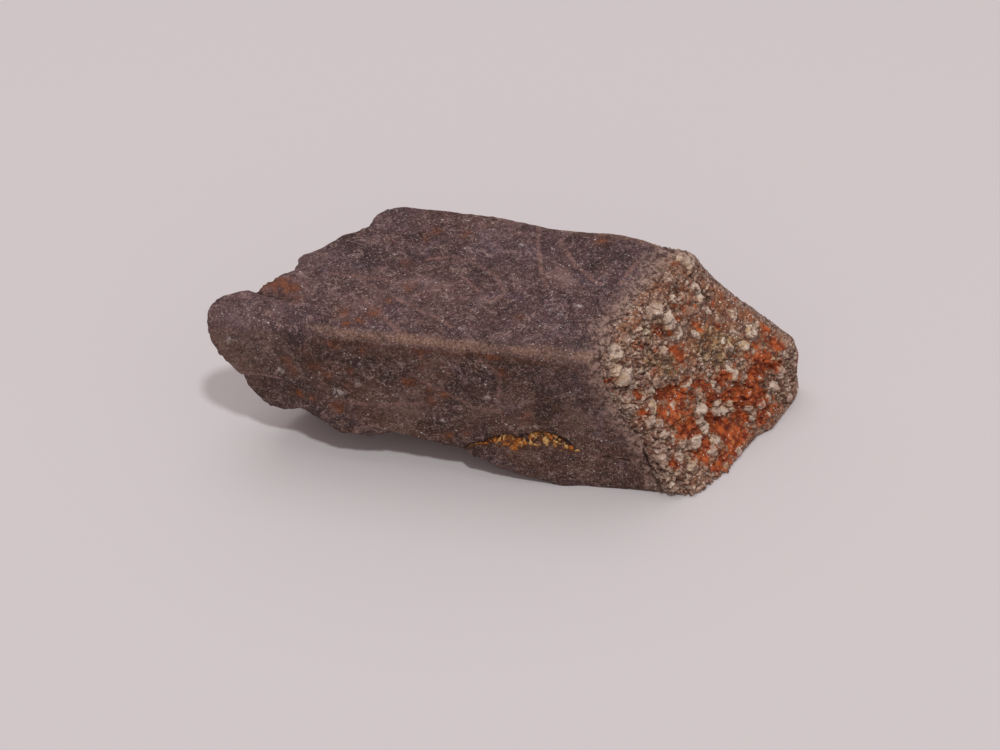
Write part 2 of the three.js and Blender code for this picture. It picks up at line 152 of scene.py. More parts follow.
# Larger feldspar lumps on the crusted end: y, z, radius and paleness from 0 to 1.
LUMPS = [
    (11.9, 12.5, 0.7, 0.65), (9.6, 12.7, 0.6, 0.6), (10.8, 11, 0.4, 0.75), (10.4, 12.2, 0.22, 0.85),
    (8.5, 11.9, 0.3, 0.75), (6.8, 12.4, 0.6, 0.7), (10.3, 10.1, 0.5, 0.6), (10.1, 9.4, 0.35, 0.75),
    (10.1, 8.8, 0.42, 0.55), (11.1, 8.4, 0.5, 0.6), (6.9, 10.8, 0.62, 0.7), (6.8, 9.7, 0.45, 0.6),
    (7.2, 9.9, 0.28, 0.8), (7.7, 9.1, 0.28, 0.95), (8.8, 7.8, 0.25, 0.8), (10.6, 6.9, 0.6, 0.72),
    (9.6, 6.8, 0.42, 0.85), (8.8, 7.2, 0.4, 0.7), (11.9, 5.4, 0.5, 0.45), (1.5, 12.5, 0.62, 0.75),
    (3.2, 10.9, 0.3, 0.6), (4.4, 12, 0.3, 0.5), (3.1, 12.4, 0.42, 0.45), (5.1, 9.6, 0.38, 0.5),
    (1.3, 10.4, 0.6, 0.85), (0.9, 11.5, 0.45, 0.7), (2.9, 7.8, 0.4, 0.75), (1, 8.7, 0.45, 0.55),
    (0.8, 8.1, 0.5, 0.5), (2, 7, 0.45, 0.8), (1.1, 6.4, 0.42, 0.75), (1.4, 5.7, 0.38, 0.6),
    (4.6, 6.7, 0.42, 0.65), (3.4, 6, 0.3, 0.85), (6.2, 5.8, 0.36, 0.95), (6.7, 5.3, 0.36, 0.7),
    (7.3, 5.6, 0.45, 0.95), (7.4, 6.2, 0.3, 0.8), (4.4, 4.9, 0.5, 0.9), (4, 4.2, 0.45, 0.9),
    (4.1, 3.5, 0.42, 0.9), (4.3, 2.8, 0.48, 0.95), (4.2, 2, 0.4, 0.9), (5.8, 3.4, 0.38, 0.85),
    (6.3, 2.9, 0.42, 0.9), (6.8, 2.7, 0.28, 0.8), (6.9, 3.3, 0.25, 0.8), (7.5, 2.3, 0.32, 0.75),
    (7.3, 1.6, 0.36, 0.7), (8.2, 2.2, 0.4, 0.85), (8.1, 1.2, 0.42, 0.8), (9.5, 2.8, 0.45, 0.75),
    (8.8, 2.1, 0.36, 0.7), (7.9, 3.4, 0.3, 0.6), (10.5, 3.5, 0.45, 0.5), (6.1, 3.9, 0.3, 0.75),
    (1.8, 3.7, 0.52, 0.6), (2.7, 3, 0.58, 0.62), (1.4, 4.9, 0.45, 0.6), (1.2, 2.8, 0.5, 0.65),
    (1.6, 1.7, 0.5, 0.7), (0.3, 3.3, 0.6, 0.4), (4.7, 0.5, 0.32, 0.75), (3.1, 1.6, 0.36, 0.7),
    (1.9, 1.1, 0.38, 0.45), (0.6, 1.9, 0.45, 0.45),
]

# Where iron oxide lies among the crust's grains, and where they are olive: y, z and radius. The rust
# reaches further in the lower hollow, given as y, z and half sizes.
RUST_SPOTS = [
    (11.1, 12.5, 0.35), (10, 11.6, 0.45), (12.1, 10, 0.25), (11.6, 9.3, 0.2), (12.3, 8.9, 0.22),
    (11.2, 8.8, 0.26), (10.8, 8.6, 0.3), (8.8, 10.7, 0.3), (8.5, 11.4, 0.2), (11.9, 7.8, 0.35),
    (9.6, 8.6, 0.35), (7.7, 10.5, 0.25), (11.7, 6.7, 0.3), (5.9, 10.8, 0.55), (6.4, 10.3, 0.4),
    (8.3, 9.3, 0.36), (4.5, 12.5, 0.27), (3.4, 11.9, 0.25), (5.9, 9.1, 0.6), (6.5, 9, 0.37),
    (5.8, 8.5, 0.5), (4.2, 10, 0.22), (10.1, 6.4, 0.35), (11.1, 5.7, 0.5), (9.7, 5.5, 0.7),
    (9.4, 4.8, 0.85), (10.4, 4.4, 0.45), (0.5, 10.9, 0.4), (1.6, 8.4, 0.5), (1, 7.1, 0.28),
    (4.1, 6.7, 0.6), (3.5, 6.9, 0.5), (4.8, 7.2, 0.26), (5.4, 6.4, 0.35), (2.3, 6.1, 0.5),
    (2.5, 5.4, 0.48), (3.3, 5.7, 0.45), (2.9, 4.2, 0.6), (3.3, 3.5, 0.35), (2.2, 4.1, 0.28),
    (5.5, 4.6, 0.55), (7, 5.8, 0.5), (6.9, 4.3, 0.62), (8, 3, 0.85), (8.6, 3.9, 0.6), (5.2, 3.3, 0.36),
    (5.6, 1.5, 0.85), (4.9, 0.9, 0.5), (5.4, 2.5, 0.5), (6.8, 1.9, 0.4), (7.8, 1.3, 0.4),
    (8.8, 1.4, 0.33), (3.3, 2.4, 0.42), (2.4, 2, 0.5), (3.2, 1.9, 0.33), (3.5, 0.8, 0.4),
    (4.3, 0.6, 0.35), (2.6, 0.7, 0.4), (0.8, 2.6, 0.2),
]
OLIVE_SPOTS = [(8, 8, 1.3), (8.9, 7.2, 0.8), (4.6, 8.8, 0.8), (4.9, 11.4, 0.5), (3.9, 9.8, 0.5),
               (3.2, 4.9, 0.4)]
RUSTY_HOLLOW = (5.8, 3.4, 4.6, 3.8)

# Stains of iron oxide and pale spots, with their radius, and healed cracks: in x and y on the top face,
# in x and z on the front.
TOP_STAINS = [
    (-13.7, 11.9, 0.3), (-14.3, 11.1, 0.2), (-14.7, 5.6, 0.3), (-16.1, 4, 0.2), (-16.8, 2.6, 0.32),
    (-19, 2.4, 0.36), (-17.7, 1.5, 0.36), (-18.6, 1.2, 0.25), (-11.5, 12, 0.18), (-1.4, 12.6, 0.4),
    (-22.6, 3.3, 0.2), (-25.2, 4.9, 0.9), (-24.2, 4.6, 0.75), (-23.3, 4.2, 0.6), (-15.4, 8.3, 0.25),
    (-6.4, 3.6, 0.12),
]
FRONT_STAINS = [
    (-21.1, 9.4, 0.35), (-21.8, 10.6, 0.2), (-18.3, 9.5, 0.22), (-17.3, 11.7, 0.24), (-19.4, 11.9, 0.3),
    (-12.8, 10.8, 0.2), (-14, 8.9, 0.4), (-12.5, 8.4, 0.26), (-12.2, 7.3, 0.34), (-11.3, 8, 0.2),
    (-19.3, 5.6, 0.5), (-5.4, 6.7, 0.25), (-11, 3.8, 0.2), (-9.8, 4.4, 0.2), (-7, 10.9, 0.3),
    (-20, 8.7, 0.2), (-23.1, 9.4, 0.3), (-22.7, 8.5, 0.3), (-18.5, 8.1, 0.2), (-22.4, 5.8, 0.4),
    (-21.3, 6, 0.26), (-7.8, 12.3, 0.35), (-13, 12.2, 0.26),
]
TOP_PALE = [
    (-19.3, 8.5, 0.15), (-15.2, 9.5, 0.14), (-11.9, 8.1, 0.2), (-9.4, 7.8, 0.14), (-11.2, 11.9, 0.15),
    (-16.1, 12.2, 0.22), (-8.5, 4.9, 0.2), (-4.2, 8.2, 0.14), (-11.9, 4.9, 0.2), (-2.2, 5.3, 0.36),
    (-19.2, 2.1, 0.12), (-4.1, 4.7, 0.2), (-7.2, 11.3, 0.26), (-10.3, 1.9, 0.26), (-3.4, 4.2, 0.26),
]
FRONT_PALE = [
    (-14.4, 10.8, 0.26), (-10, 12.2, 0.15), (-8.4, 11.3, 0.15), (-12.9, 8.7, 0.2), (-15.5, 9.6, 0.14),
    (-17.7, 9.7, 0.25), (-17.7, 8.2, 0.25), (-19.3, 7.1, 0.55), (-8.1, 8.2, 0.26), (-5, 8.2, 0.2),
    (-5, 7.2, 0.14), (-8.1, 5.2, 0.2), (-11.5, 5.3, 0.26), (-14.8, 7.6, 0.26), (-23.6, 8.3, 0.36),
    (-21.6, 7, 0.28), (-27.3, 10.7, 0.35), (-25.4, 9.2, 0.2),
]
TOP_VEINS = [[(-19, 6.4), (-17.5, 5.2), (-15.8, 4.5), (-14.1, 3.5), (-12.2, 2.7), (-11.1, 1.9)],
             [(-20.8, 6.2), (-18.8, 6.3), (-16.5, 6.1)],
             [(-17.7, 3.8), (-16.3, 2.4), (-15.3, 1.4), (-14, 0.2)],
             [(-14, 8.8), (-12.5, 9.3), (-10.9, 9.1), (-8.5, 7.6), (-7.7, 6), (-8.7, 4.9), (-11.8, 8)],
             [(-6.2, 13.6), (-6.1, 11.8), (-5.4, 8.7), (-4.9, 7.2)],
             [(1.5, 10.8), (1, 9.6), (0.6, 8.3)],
             [(-4.5, 12.4), (-3, 9.6), (-0.9, 7.8)]]
FRONT_VEINS = [[(-13.8, 9.8), (-11.6, 8.5), (-9.1, 7), (-7.2, 6.9)],
               [(-19.9, 6.2), (-16.1, 6.3), (-12.4, 7.1)],
               [(-8.7, 11.9), (-7.2, 10.6), (-7.4, 8.5)]]
BACK_TURN_X = -12.0  # the back's marks lie at this less the front's x

GUESSED_ENDS = (-27, 10)  # x of the ends, from which the skin's sections are found
SECTION_PASSES = 4
BODY_CELLS = (232, 86, 80)  # of the body's skin along X, Y and Z
BODY_SAG = 1.0  # by which the body lies below the crust's surface
SAG_RIM = 0.9  # width inside the rims over which it sinks
CRUST_CELLS = (60, 214, 248)  # of the crust's skin along X, Y and Z
CRUST_FROM = 0.87  # of the way along X, where the crust's skin starts
CRUST_LAP = 0.6  # of the crust over the rims at the back and below
LUMP_SPREAD = 1.1  # by which the lumps' feet are wider than the lumps
LUMP_ANGULARITY = 0.65  # from 0 for round lumps to 1 for flat-sided ones

# Sizes of the crust's crumbs, of the body's crumbs next to the crust, and of its hackles.
BIG_CRUMB, MIDDLE_CRUMB, SMALL_CRUMB = 1.2, 0.62, 0.29
MARGIN_CRUMB = 0.5
HACKLE, FINE_HACKLE = 1.5, 0.62
LIP_CRUMB_HEIGHT = 0.16
NOTCH_CRUMB_HEIGHT = 0.3

# Distances given to points that aren't on a crack's or a ledge's own face.
OFF_FACE = 9.0
OFF_LEDGE = 5.0


# ---- Numbers along lines, and noise, for whole arrays at once ----

def clamp01(s):
    return np.clip(s, 0, 1)


def ease(s):
    """0 up to s = 0, 1 from s = 1 on, and a soft rise between."""
    s = clamp01(s)
    return s * s * (3 - 2 * s)


def mix(a, b, s):
    return a + (b - a) * s


def follow(line, s, soft=0.3):
    """The value at s of a line, its corners rounded over soft to each side."""
    where, value = np.array(line, float).T
    return sum(np.interp(s + d, where, value) for d in (-soft, 0, 0, soft)) / 4


def away_from(line, a, b):
    """Distance of (a, b) from a line of places."""
    line = np.array(line, float)
    best = np.full(np.shape(a), np.inf)
    for (a0, b0), (a1, b1) in zip(line, line[1:]):
        da, db = a1 - a0, b1 - b0
        t = clamp01(((a - a0) * da + (b - b0) * db) / (da * da + db * db))
        best = np.minimum(best, np.hypot(a - a0 - t * da, b - b0 - t * db))
    return best


def line_gap(lines, a, b):
    """Distance of (a, b) from the nearest of some lines."""
    return np.min([away_from(line, a, b) for line in lines], 0)


def spot_gap(spots, a, b):
    """How far (a, b) lies outside the nearest of some round spots."""
    return np.min([np.hypot(a - at_a, b - at_b) - radius for at_a, at_b, radius in spots], 0)


def in_oval(oval, a, b, firmness):
    """1 in the middle of an oval, 0 from its edge on. An oval is its middle and its half sizes."""
    at_a, at_b, half_a, half_b = oval
    return ease(firmness * (1 - np.hypot((a - at_a) / half_a, (b - at_b) / half_b)))


def groove(distance, size):
    """Depth of a groove at a distance from its middle, for its depth and half width."""
    depth, width = size
    return depth * np.exp(-(distance / width) ** 2)


def corner_value(i, j, k):
    """A repeatable number from -1 to 1 for each corner of a lattice."""
    n = np.sin(i * 127.1 + j * 311.7 + k * 74.7) * 43758.5453
    return 2 * (n - np.floor(n)) - 1


def noise(p):
    """Smooth noise from -1 to 1 at the points p, with lumps about one unit across."""
    low = np.floor(p)
    a, b, c = ease(p - low).T
    i, j, k = low.T

    def row(dj, dk):
        return mix(corner_value(i, j + dj, k + dk), corner_value(i + 1, j + dj, k + dk), a)

    return mix(mix(row(0, 0), row(1, 0), b), mix(row(0, 1), row(1, 1), b), c)


def rough(p, grain, octaves=4, turn=0.0):
    """Fractal noise from about -1 to 1, with lumps up to grain across. Each turn is another pattern."""
    total, weight, size = 0, 1, 1 / grain
    for octave in range(octaves):
        total = total + weight * noise(p * size + 17.3 * octave + turn)
        weight *= 0.55
        size *= 2.07
    return total / 1.6


def cell_values(cell, *shifts):
    """Repeatable numbers from -1 to 1 for each cell of a lattice, one for each shift."""
    return np.stack([corner_value(*(cell + shift).T) for shift in shifts], 1)


def facets(p, grain, turn=0.0):
    """Flat tilted facets, as on hackly fracture. For each point the height of its facet, the way in from
    the facet's edge, in grains, and the facet's own number from 0 to 1."""
    q = p / grain + turn
    low = np.floor(q)
    near, second = np.full(len(q), np.inf), np.full(len(q), np.inf)
    plane, own = np.zeros(len(q)), np.zeros(len(q))
    for step in np.ndindex(3, 3, 3):
        cell = low + np.array(step) - 1
        away = q - cell - 0.5 - 0.45 * cell_values(cell, 0, 31.7, 59.3)
        distance = np.linalg.norm(away, axis=1)
        tilt = cell_values(cell, 7.1, 83.9, 12.7)
        height = (away * tilt).sum(1) + 0.6 * corner_value(*(cell + 5.3).T)
        closer = distance < near
        second = np.where(closer, near, np.minimum(second, distance))
        plane = np.where(closer, height, plane)
        own = np.where(closer, np.abs(corner_value(*(cell + 43.9).T)), own)
        near = np.where(closer, distance, near)
    return plane, second - near, own


def block_distance(offset, number):
    """Distance of offsets from the middle of an angular block, whose shape goes by its number."""
    sides = [corner_value(number, np.arange(3.0), 7.0 * side) for side in range(6)]
    flat = np.max([np.abs(offset @ side) / np.linalg.norm(side) for side in sides], 0)
    return mix(np.linalg.norm(offset, axis=1), flat, LUMP_ANGULARITY)


def stepped(height, step):
    """The height drawn towards flat terraces, each a step above the last."""
    whole = np.floor(height / step)
    return step * (whole + ease(2 * (height / step - whole) - 0.5))


def relief(p, grain, height):
    """The CAD solid's own relief."""
    return height * (noise(p / grain) + 0.5 * noise(2.3 * p / grain + np.array([0, 7, 0])))


# ---- The skin of the crystal ----

def spanned(rims, y, z, width):
    """The x of an end at (y, z), spanned between its rims."""
    base, top, front, back = rims
    across, up = clamp01(y / width), clamp01(z / HEIGHT)
    corners = mix(mix(follow(base, 0), follow(base, width), across),
                  mix(follow(top, 0), follow(top, width), across), up)
    upwards = mix(follow(base, y), follow(top, y), up)
    return upwards + mix(follow(front, z), follow(back, z), across) - corners


def crusted_x(y, z):
    return spanned(CRUSTED_END, y, z, WIDTH)


def sunk(y, z):
    """How far the crusted end is sunk at (y, z), by its step and its hollows."""
    below = follow(CRUST_STEP, y) - z
    inner = ease(z / 2.5) * ease((WIDTH - y) / 2)
    depth = CRUST_STEP_DEPTH * ease(below / 0.6) * inner
    for *oval, deep in HOLLOWS:
        depth = depth + deep * in_oval(oval, y, z, 1.3)
    return depth


def top_z(x, y):
    return HEIGHT - TOP_FALL * ease((x + 1) / 6) * clamp01(y / WIDTH)


def bottom_z(x, y):
    fall = clamp01(1 - (y - 0.2) / follow(UNDERCUT_Y, x))
    return follow(UNDERCUT_Z, x) * fall ** 0.9 - BASE_ALLOWANCE * ease(2 - 2 * fall)


def worn(x, y, z, broken, crusted, sag):
    """The skin's places with worn edges and the relief of its faces. Also which are nearest the front and
    the crusted end, their depth from the front or back, and how high the bottom is there."""
    front, back = follow(FRONT_Y, x), follow(BACK_Y, x)
    bottom, top = bottom_z(x, y), top_z(x, y)
    near_front = y - front < back - y
    near_top = top - z < z - bottom
    near_crust = crusted - x < x - broken

    # Depths below the nearest face each way, drawn on to an ellipsoid where two or three faces meet.
    depths = np.stack([
        np.where(near_crust, crusted - x, x - broken),
        np.where(near_front, y - front, back - y),
        np.where(near_top, top - z, z - bottom),
    ])
    across = np.where(near_front & near_top, follow(RIDGE_WEAR, x), EDGE_WEAR)
    wear = np.stack([np.where(near_crust, CRUST_WEAR, BREAK_WEAR), across, across])
    inside = np.maximum(0, 1 - depths / wear)
    length = np.linalg.norm(inside, axis=0)
    round_off = inside.max(0) / np.where(length > 0, length, 1)
    dx, dy, dz = np.where(inside > 0, wear * (1 - inside * round_off), depths)
    p = np.stack([
        np.where(near_crust, crusted - dx, broken + dx),
        np.where(near_front, front + dy, back - dy),
        np.where(near_top, top - dz, bottom + dz),
    ], 1)

    def on_face(depth):
        return ease(1 - depth / RELIEF_FADE)

    face = relief(p, *FACE_RELIEF)
    crust = -sunk(y, z) - sag * ease(np.minimum(dy, dz) / SAG_RIM)
    broke = stepped(relief(p, *BREAK_RELIEF), BREAK_STEP) + relief(p, *FINE_BREAK_RELIEF)
    under = ease(bottom / 1.2) * stepped(relief(p, *UNDERCUT_RELIEF), UNDERCUT_STEP)
    p[:, 0] += on_face(dx) * np.where(near_crust, crust, -broke * ease((y - 2) / 4))
    p[:, 1] += on_face(dy) * np.where(near_front, face, -face * 1.6)
    p[:, 2] += on_face(dz) * np.where(near_top, -face, face + under)
    return p, {"near_front": near_front, "near_crust": near_crust, "side_depth": dy, "bottom": bottom}


def place(t, u, v, sag=0.0):
    """The skin for t along X, u across and v up, each from 0 to 1. The crusted end is sunk by sag inside
    its rims. The ends lean, so the section is found again each time x comes out nearer."""
    x = mix(*GUESSED_ENDS, t)
    for _ in range(SECTION_PASSES):
        y = mix(follow(FRONT_Y, x), follow(BACK_Y, x), u)
        z = mix(bottom_z(x, y), top_z(x, y), v)
        broken, crusted = spanned(BROKEN_END, y, z, BREAK_WIDTH), crusted_x(y, z)
        x = mix(broken, crusted, t)
    return worn(x, y, z, broken, crusted, sag)


def box_skin(cells):
    """Lattice coordinates from 0 to 1 of the corners on a box's surface, and its quads, facing outwards."""
    nx, ny, nz = cells
    number = np.full((nx + 1, ny + 1, nz + 1), -1)
    lattice = np.indices(number.shape)
    limits = np.array(cells).reshape(3, 1, 1, 1)
    surface = ((lattice == 0) | (lattice == limits)).any(0)
    number[surface] = np.arange(surface.sum())
    corners = lattice[:, surface].T / np.array(cells)
    quads = []
    for axis in range(3):
        sides = np.moveaxis(number, axis, 0)
        for end, flip in ((0, axis != 1), (-1, axis == 1)):
            side = sides[end]
            quad = np.stack([side[:-1, :-1], side[1:, :-1], side[1:, 1:], side[:-1, 1:]], -1).reshape(-1, 4)
            quads.append(quad[:, ::-1] if flip else quad)
    return corners, np.concatenate(quads)


def normals_of(points, quads):
    """Unit normals at the points of a mesh of quads."""
    a, b, c, d = (points[quads[:, i]] for i in range(4))
    face = np.cross(c - a, d - b)
    normal = np.zeros_like(points)
    for i in range(4):
        np.add.at(normal, quads[:, i], face)
    return normal / np.maximum(np.linalg.norm(normal, axis=1, keepdims=True), 1e-12)


# ---- Crystal body ----

def facing(p, quads, skin):
    """The body's normals, and how far each point is on its front, top, base and broken faces."""
    normal = normals_of(p, quads)
    down = ease(-normal[:, 2] * 2)
    broken_end = ease(-normal[:, 0] * 1.6) * ~skin["near_crust"]
    undercut = down * ease(skin["bottom"] / 0.8)
    return normal, {
        "front": ease(-normal[:, 1] * 2),
        "top": ease(normal[:, 2] * 2),
        "base": down * (1 - ease(skin["bottom"] / 0.5)),
        "broken": np.maximum(broken_end, undercut),
    }


def lip_and_crack(x, z):
    """Relief of the ledge low on the front face, a crack over a crumbly lip, and how far each point lies
    below the crack, where 1 is the lip's foot."""
    start, end = LIP_ENDS
    along = ease((x - start) / 1.2) * ease((end - x) / 2.5)
    below = follow(LEDGE_CRACK, x, 0.1) - z
    lip = LIP_HEIGHT * along * ease((below - 0.05) / 0.75)
    crack = groove(below - 0.02, LEDGE_CRACK_SIZE) * (ease((x + 10.4) / 0.6) * ease((-1.6 - x) / 0.8))
    uneven = rough(np.stack([x, 0 * x, 0 * x], 1), 0.9, 3)
    thick = 0.12 + (0.8 + 0.5 * uneven) * ease((x + 9.2) / 4.8) * ease((-0.8 - x) / 2)
    return lip - crack, below / np.maximum(thick, 0.1)


def crust_edge(p, on_top, on_front):
    """How far a point of the body's sides lies past the crust's edge."""
    x, y, z = p.T
    over_top = x - follow(CRUST_EDGE_TOP, y)
    over_front = x - follow(CRUST_EDGE_FRONT, z)
    over_rim = x + CRUST_LAP - crusted_x(y, z)
    return np.where(on_top, over_top, np.where(on_front, over_front, over_rim))


def crack_gaps(p, on_top, on_front):
    """Distances from the ragged cracks in the front face, and from the crack in the nose's top."""
    x, y, z = p.T
    wander = 0.22 * rough(p, 0.7, 3, 71.0)
    corner = away_from(CORNER_CRACK, x + wander, z)
    low = away_from(LOW_CRACK, x, z + 0.5 * wander)
    in_front = np.where(on_front, np.minimum(corner, low), OFF_FACE)
    return in_front, np.where(on_top, away_from(NOSE_CRACK, x, y), OFF_FACE)


def fine_relief(p, broken):
    """Hackles on the broken faces, and a soft unevenness on the others."""
    plane, _, _ = facets(p, HACKLE)
    fine_plane, _, _ = facets(p, FINE_HACKLE, 4.4)
    hackly = 0.11 * plane + 0.05 * fine_plane
    uneven = 0.05 * rough(p, 1.6) + 0.035 * rough(p, 0.55, 3, 9.0)
    return broken * hackly + (1 - broken) * uneven + 0.03 * rough(p, 0.3, 2, 3.0)


def ridge_gap(p):
    """Distance from the worn ridges at the front and back of the top. It grows where they are less worn."""
    x, y, z = p.T
    middle = mix(0.25, 1.0, clamp01((-19 - x) / 8))
    from_front = np.hypot(y - follow(FRONT_Y, x) - middle, z - HEIGHT) + 0.9 * ease((-19.5 - x) / 4)
    from_back = np.hypot(y - follow(BACK_Y, x), z - HEIGHT) + 0.25 * (1 - ease((x + 8) / 6))
    return np.minimum(from_front, from_back)


def mark_gaps(p, normal, on_top):
    """Distances from the stains, pale spots and veins. The back's are the front's, turned round."""
    x, y, z = p.T
    along = np.where(normal[:, 1] > 0.3, BACK_TURN_X - x, x)
    gaps = {}
    for key, gap, top_marks, side_marks in (
        ("stain", spot_gap, TOP_STAINS, FRONT_STAINS),
        ("pale", spot_gap, TOP_PALE, FRONT_PALE),
        ("vein", line_gap, TOP_VEINS, FRONT_VEINS),
    ):
        gaps[key] = np.where(on_top, gap(top_marks, x, y), gap(side_marks, along, z))
    return gaps


def body_points():
    """Places, quads and surface measures of the crystal body."""
    corners, quads = box_skin(BODY_CELLS)
    _, across, up = corners.T
    p, skin = place(*corners.T, BODY_SAG)
    x, y, z = p.T  # views, which follow each change of p
    z -= follow(NOSE_DROP, x) * ease(1 - up / 0.4) * ease((9 - y) / 3)
    normal, face = facing(p, quads, skin)
    on_top, on_front = face["top"] > 0.5, face["front"] > 0.5

    below_step = follow(NOSE_STEP, x, 0.1) - z
    recess = ease(below_step / 0.16) * ease((-20.6 - x) / 3.0)
    y += NOSE_RECESS * recess * ease(2 * (0.5 - across))

    ledge, below_crack = lip_and_crack(x, z)
    crumbly = ease(below_crack / 0.25) * ease((1.3 - below_crack) / 0.4)
    front_skin = skin["near_front"] * ease(1 - skin["side_depth"] / RELIEF_FADE) * (across < 0.5)
    y -= front_skin * (ledge + LIP_CRUMB_HEIGHT * crumbly * (0.5 + rough(p, 0.38, 3, 81.0)))

    edge_of_crust = crust_edge(p, on_top, on_front)
    near_crust = ease((edge_of_crust + 2.0) / 2.5)
    crumb, crumb_edge, crumb_tone = facets(p + 0.2 * rough(p, 0.5, 2, 21.0)[:, None], MARGIN_CRUMB, 7.7)
    front_cracks, nose_crack = crack_gaps(p, on_top, on_front)
    in_notch = face["top"] * in_oval(NOTCH, x, y, 1.6)

    out = fine_relief(p, face["broken"])
    out += near_crust * (0.06 * crumb + 0.14 * ease(crumb_edge / 0.4) - 0.06)
    out -= groove(front_cracks, FRONT_CRACK_SIZE) + groove(nose_crack, NOSE_CRACK_SIZE)
    out += NOTCH_CRUMB_HEIGHT * in_notch * (0.4 + rough(p, 0.55, 3, 61.0))
    p += normal * (out * (1 - face["base"]))[:, None]
    z[:] = np.maximum(z, 0)
    z[(face["base"] > 0.5) & (z < 0.12)] = 0

    facing_front = face["front"] > 0.2
    measures = {
        "nose": ease((-20 - x) / 5),
        "ridge": ridge_gap(p),
        "upward": face["top"],
        "crust": edge_of_crust,
        "crumb_tone": crumb_tone,
        "crumb_edge": crumb_edge,
        "ledge": np.where(facing_front & (x > -10.8) & (x < -1.2), below_crack, OFF_LEDGE),
        "nose_step": np.where(facing_front & (x > -28.6) & (x < -23.4), below_step, -OFF_LEDGE),
        "crack": np.minimum(front_cracks, nose_crack),
        **mark_gaps(p, normal, on_top),
    }
    return p, quads, measures


# ---- End crust ----

def crust_level():
    """The crust's level over the end and its margins: places, quads, normals, and each point's way in from
    the crust's border and from the rims at the back and below."""
    corners, quads = box_skin(CRUST_CELLS)
    t, u, v = corners.T
    p, _ = place(mix(CRUST_FROM, 1, t), u, v)
    x, y, z = p.T
    normal = normals_of(p, quads)
    down = crusted_x(y, z) - x
    from_back = follow(BACK_Y, x) - y
    from_base = z - bottom_z(x, y)
    in_from_border = np.minimum.reduce([
        x - follow(CRUST_EDGE_FRONT, z),
        x - follow(CRUST_EDGE_TOP, y),
        CRUST_LAP - down + 2 * from_back,
        CRUST_LAP - down + 2 * from_base,
    ])
    in_from_rim = np.minimum(from_back - 0.4 * ease((z - 4) / 4), from_base + 1.6 * ease((4 - y) / 1.6))

    # What lies inside the body is left out.
    unseen = (t[quads] == 0).all(1)
    unseen |= ((u[quads] == 1).all(1) | (v[quads] == 0).all(1)) & (down[quads] > 2 * CRUST_LAP).any(1)
    quads = quads[~unseen]
    used = np.unique(quads)
    number = np.zeros(len(p), int)
    number[used] = np.arange(len(used))
    return p[used], number[quads], normal[used], in_from_border[used], in_from_rim[used]


def add_lumps(p, normal, warped, crumbs, height):
    """The crust's height with its larger lumps, and for each point how far it is up a lump, that lump's
    paleness, 0 off the lumps, and the way from the nearest lump's foot."""
    _, y, z = p.T
    lump, lump_pale, foot = np.zeros(len(p)), np.zeros(len(p)), np.ones(len(p))
    for number, (cy, cz, lump_radius, pale) in enumerate(LUMPS):
        radius = lump_radius * LUMP_SPREAD
        nearest = np.argmin(np.hypot(y - cy, z - cz) + (normal[:, 0] < 0.2))
        away = block_distance(warped - warped[nearest], number) / radius
        dome = 0.8 * radius * clamp01(1.8 * (1 - away)) - 0.14 + 0.7 * crumbs
        here = (away < 1) & (dome > height)
        height = np.where(here, dome, height)
        lump = np.where(here, ease(2.5 * (1 - away)), lump)
        lump_pale = np.where(here, pale, lump_pale)
        foot = np.where(here, 1.0, foot)
        foot = np.where(away > 0.9, np.minimum(foot, np.abs(away - 1) * radius), foot)
    return height, lump, lump_pale, foot


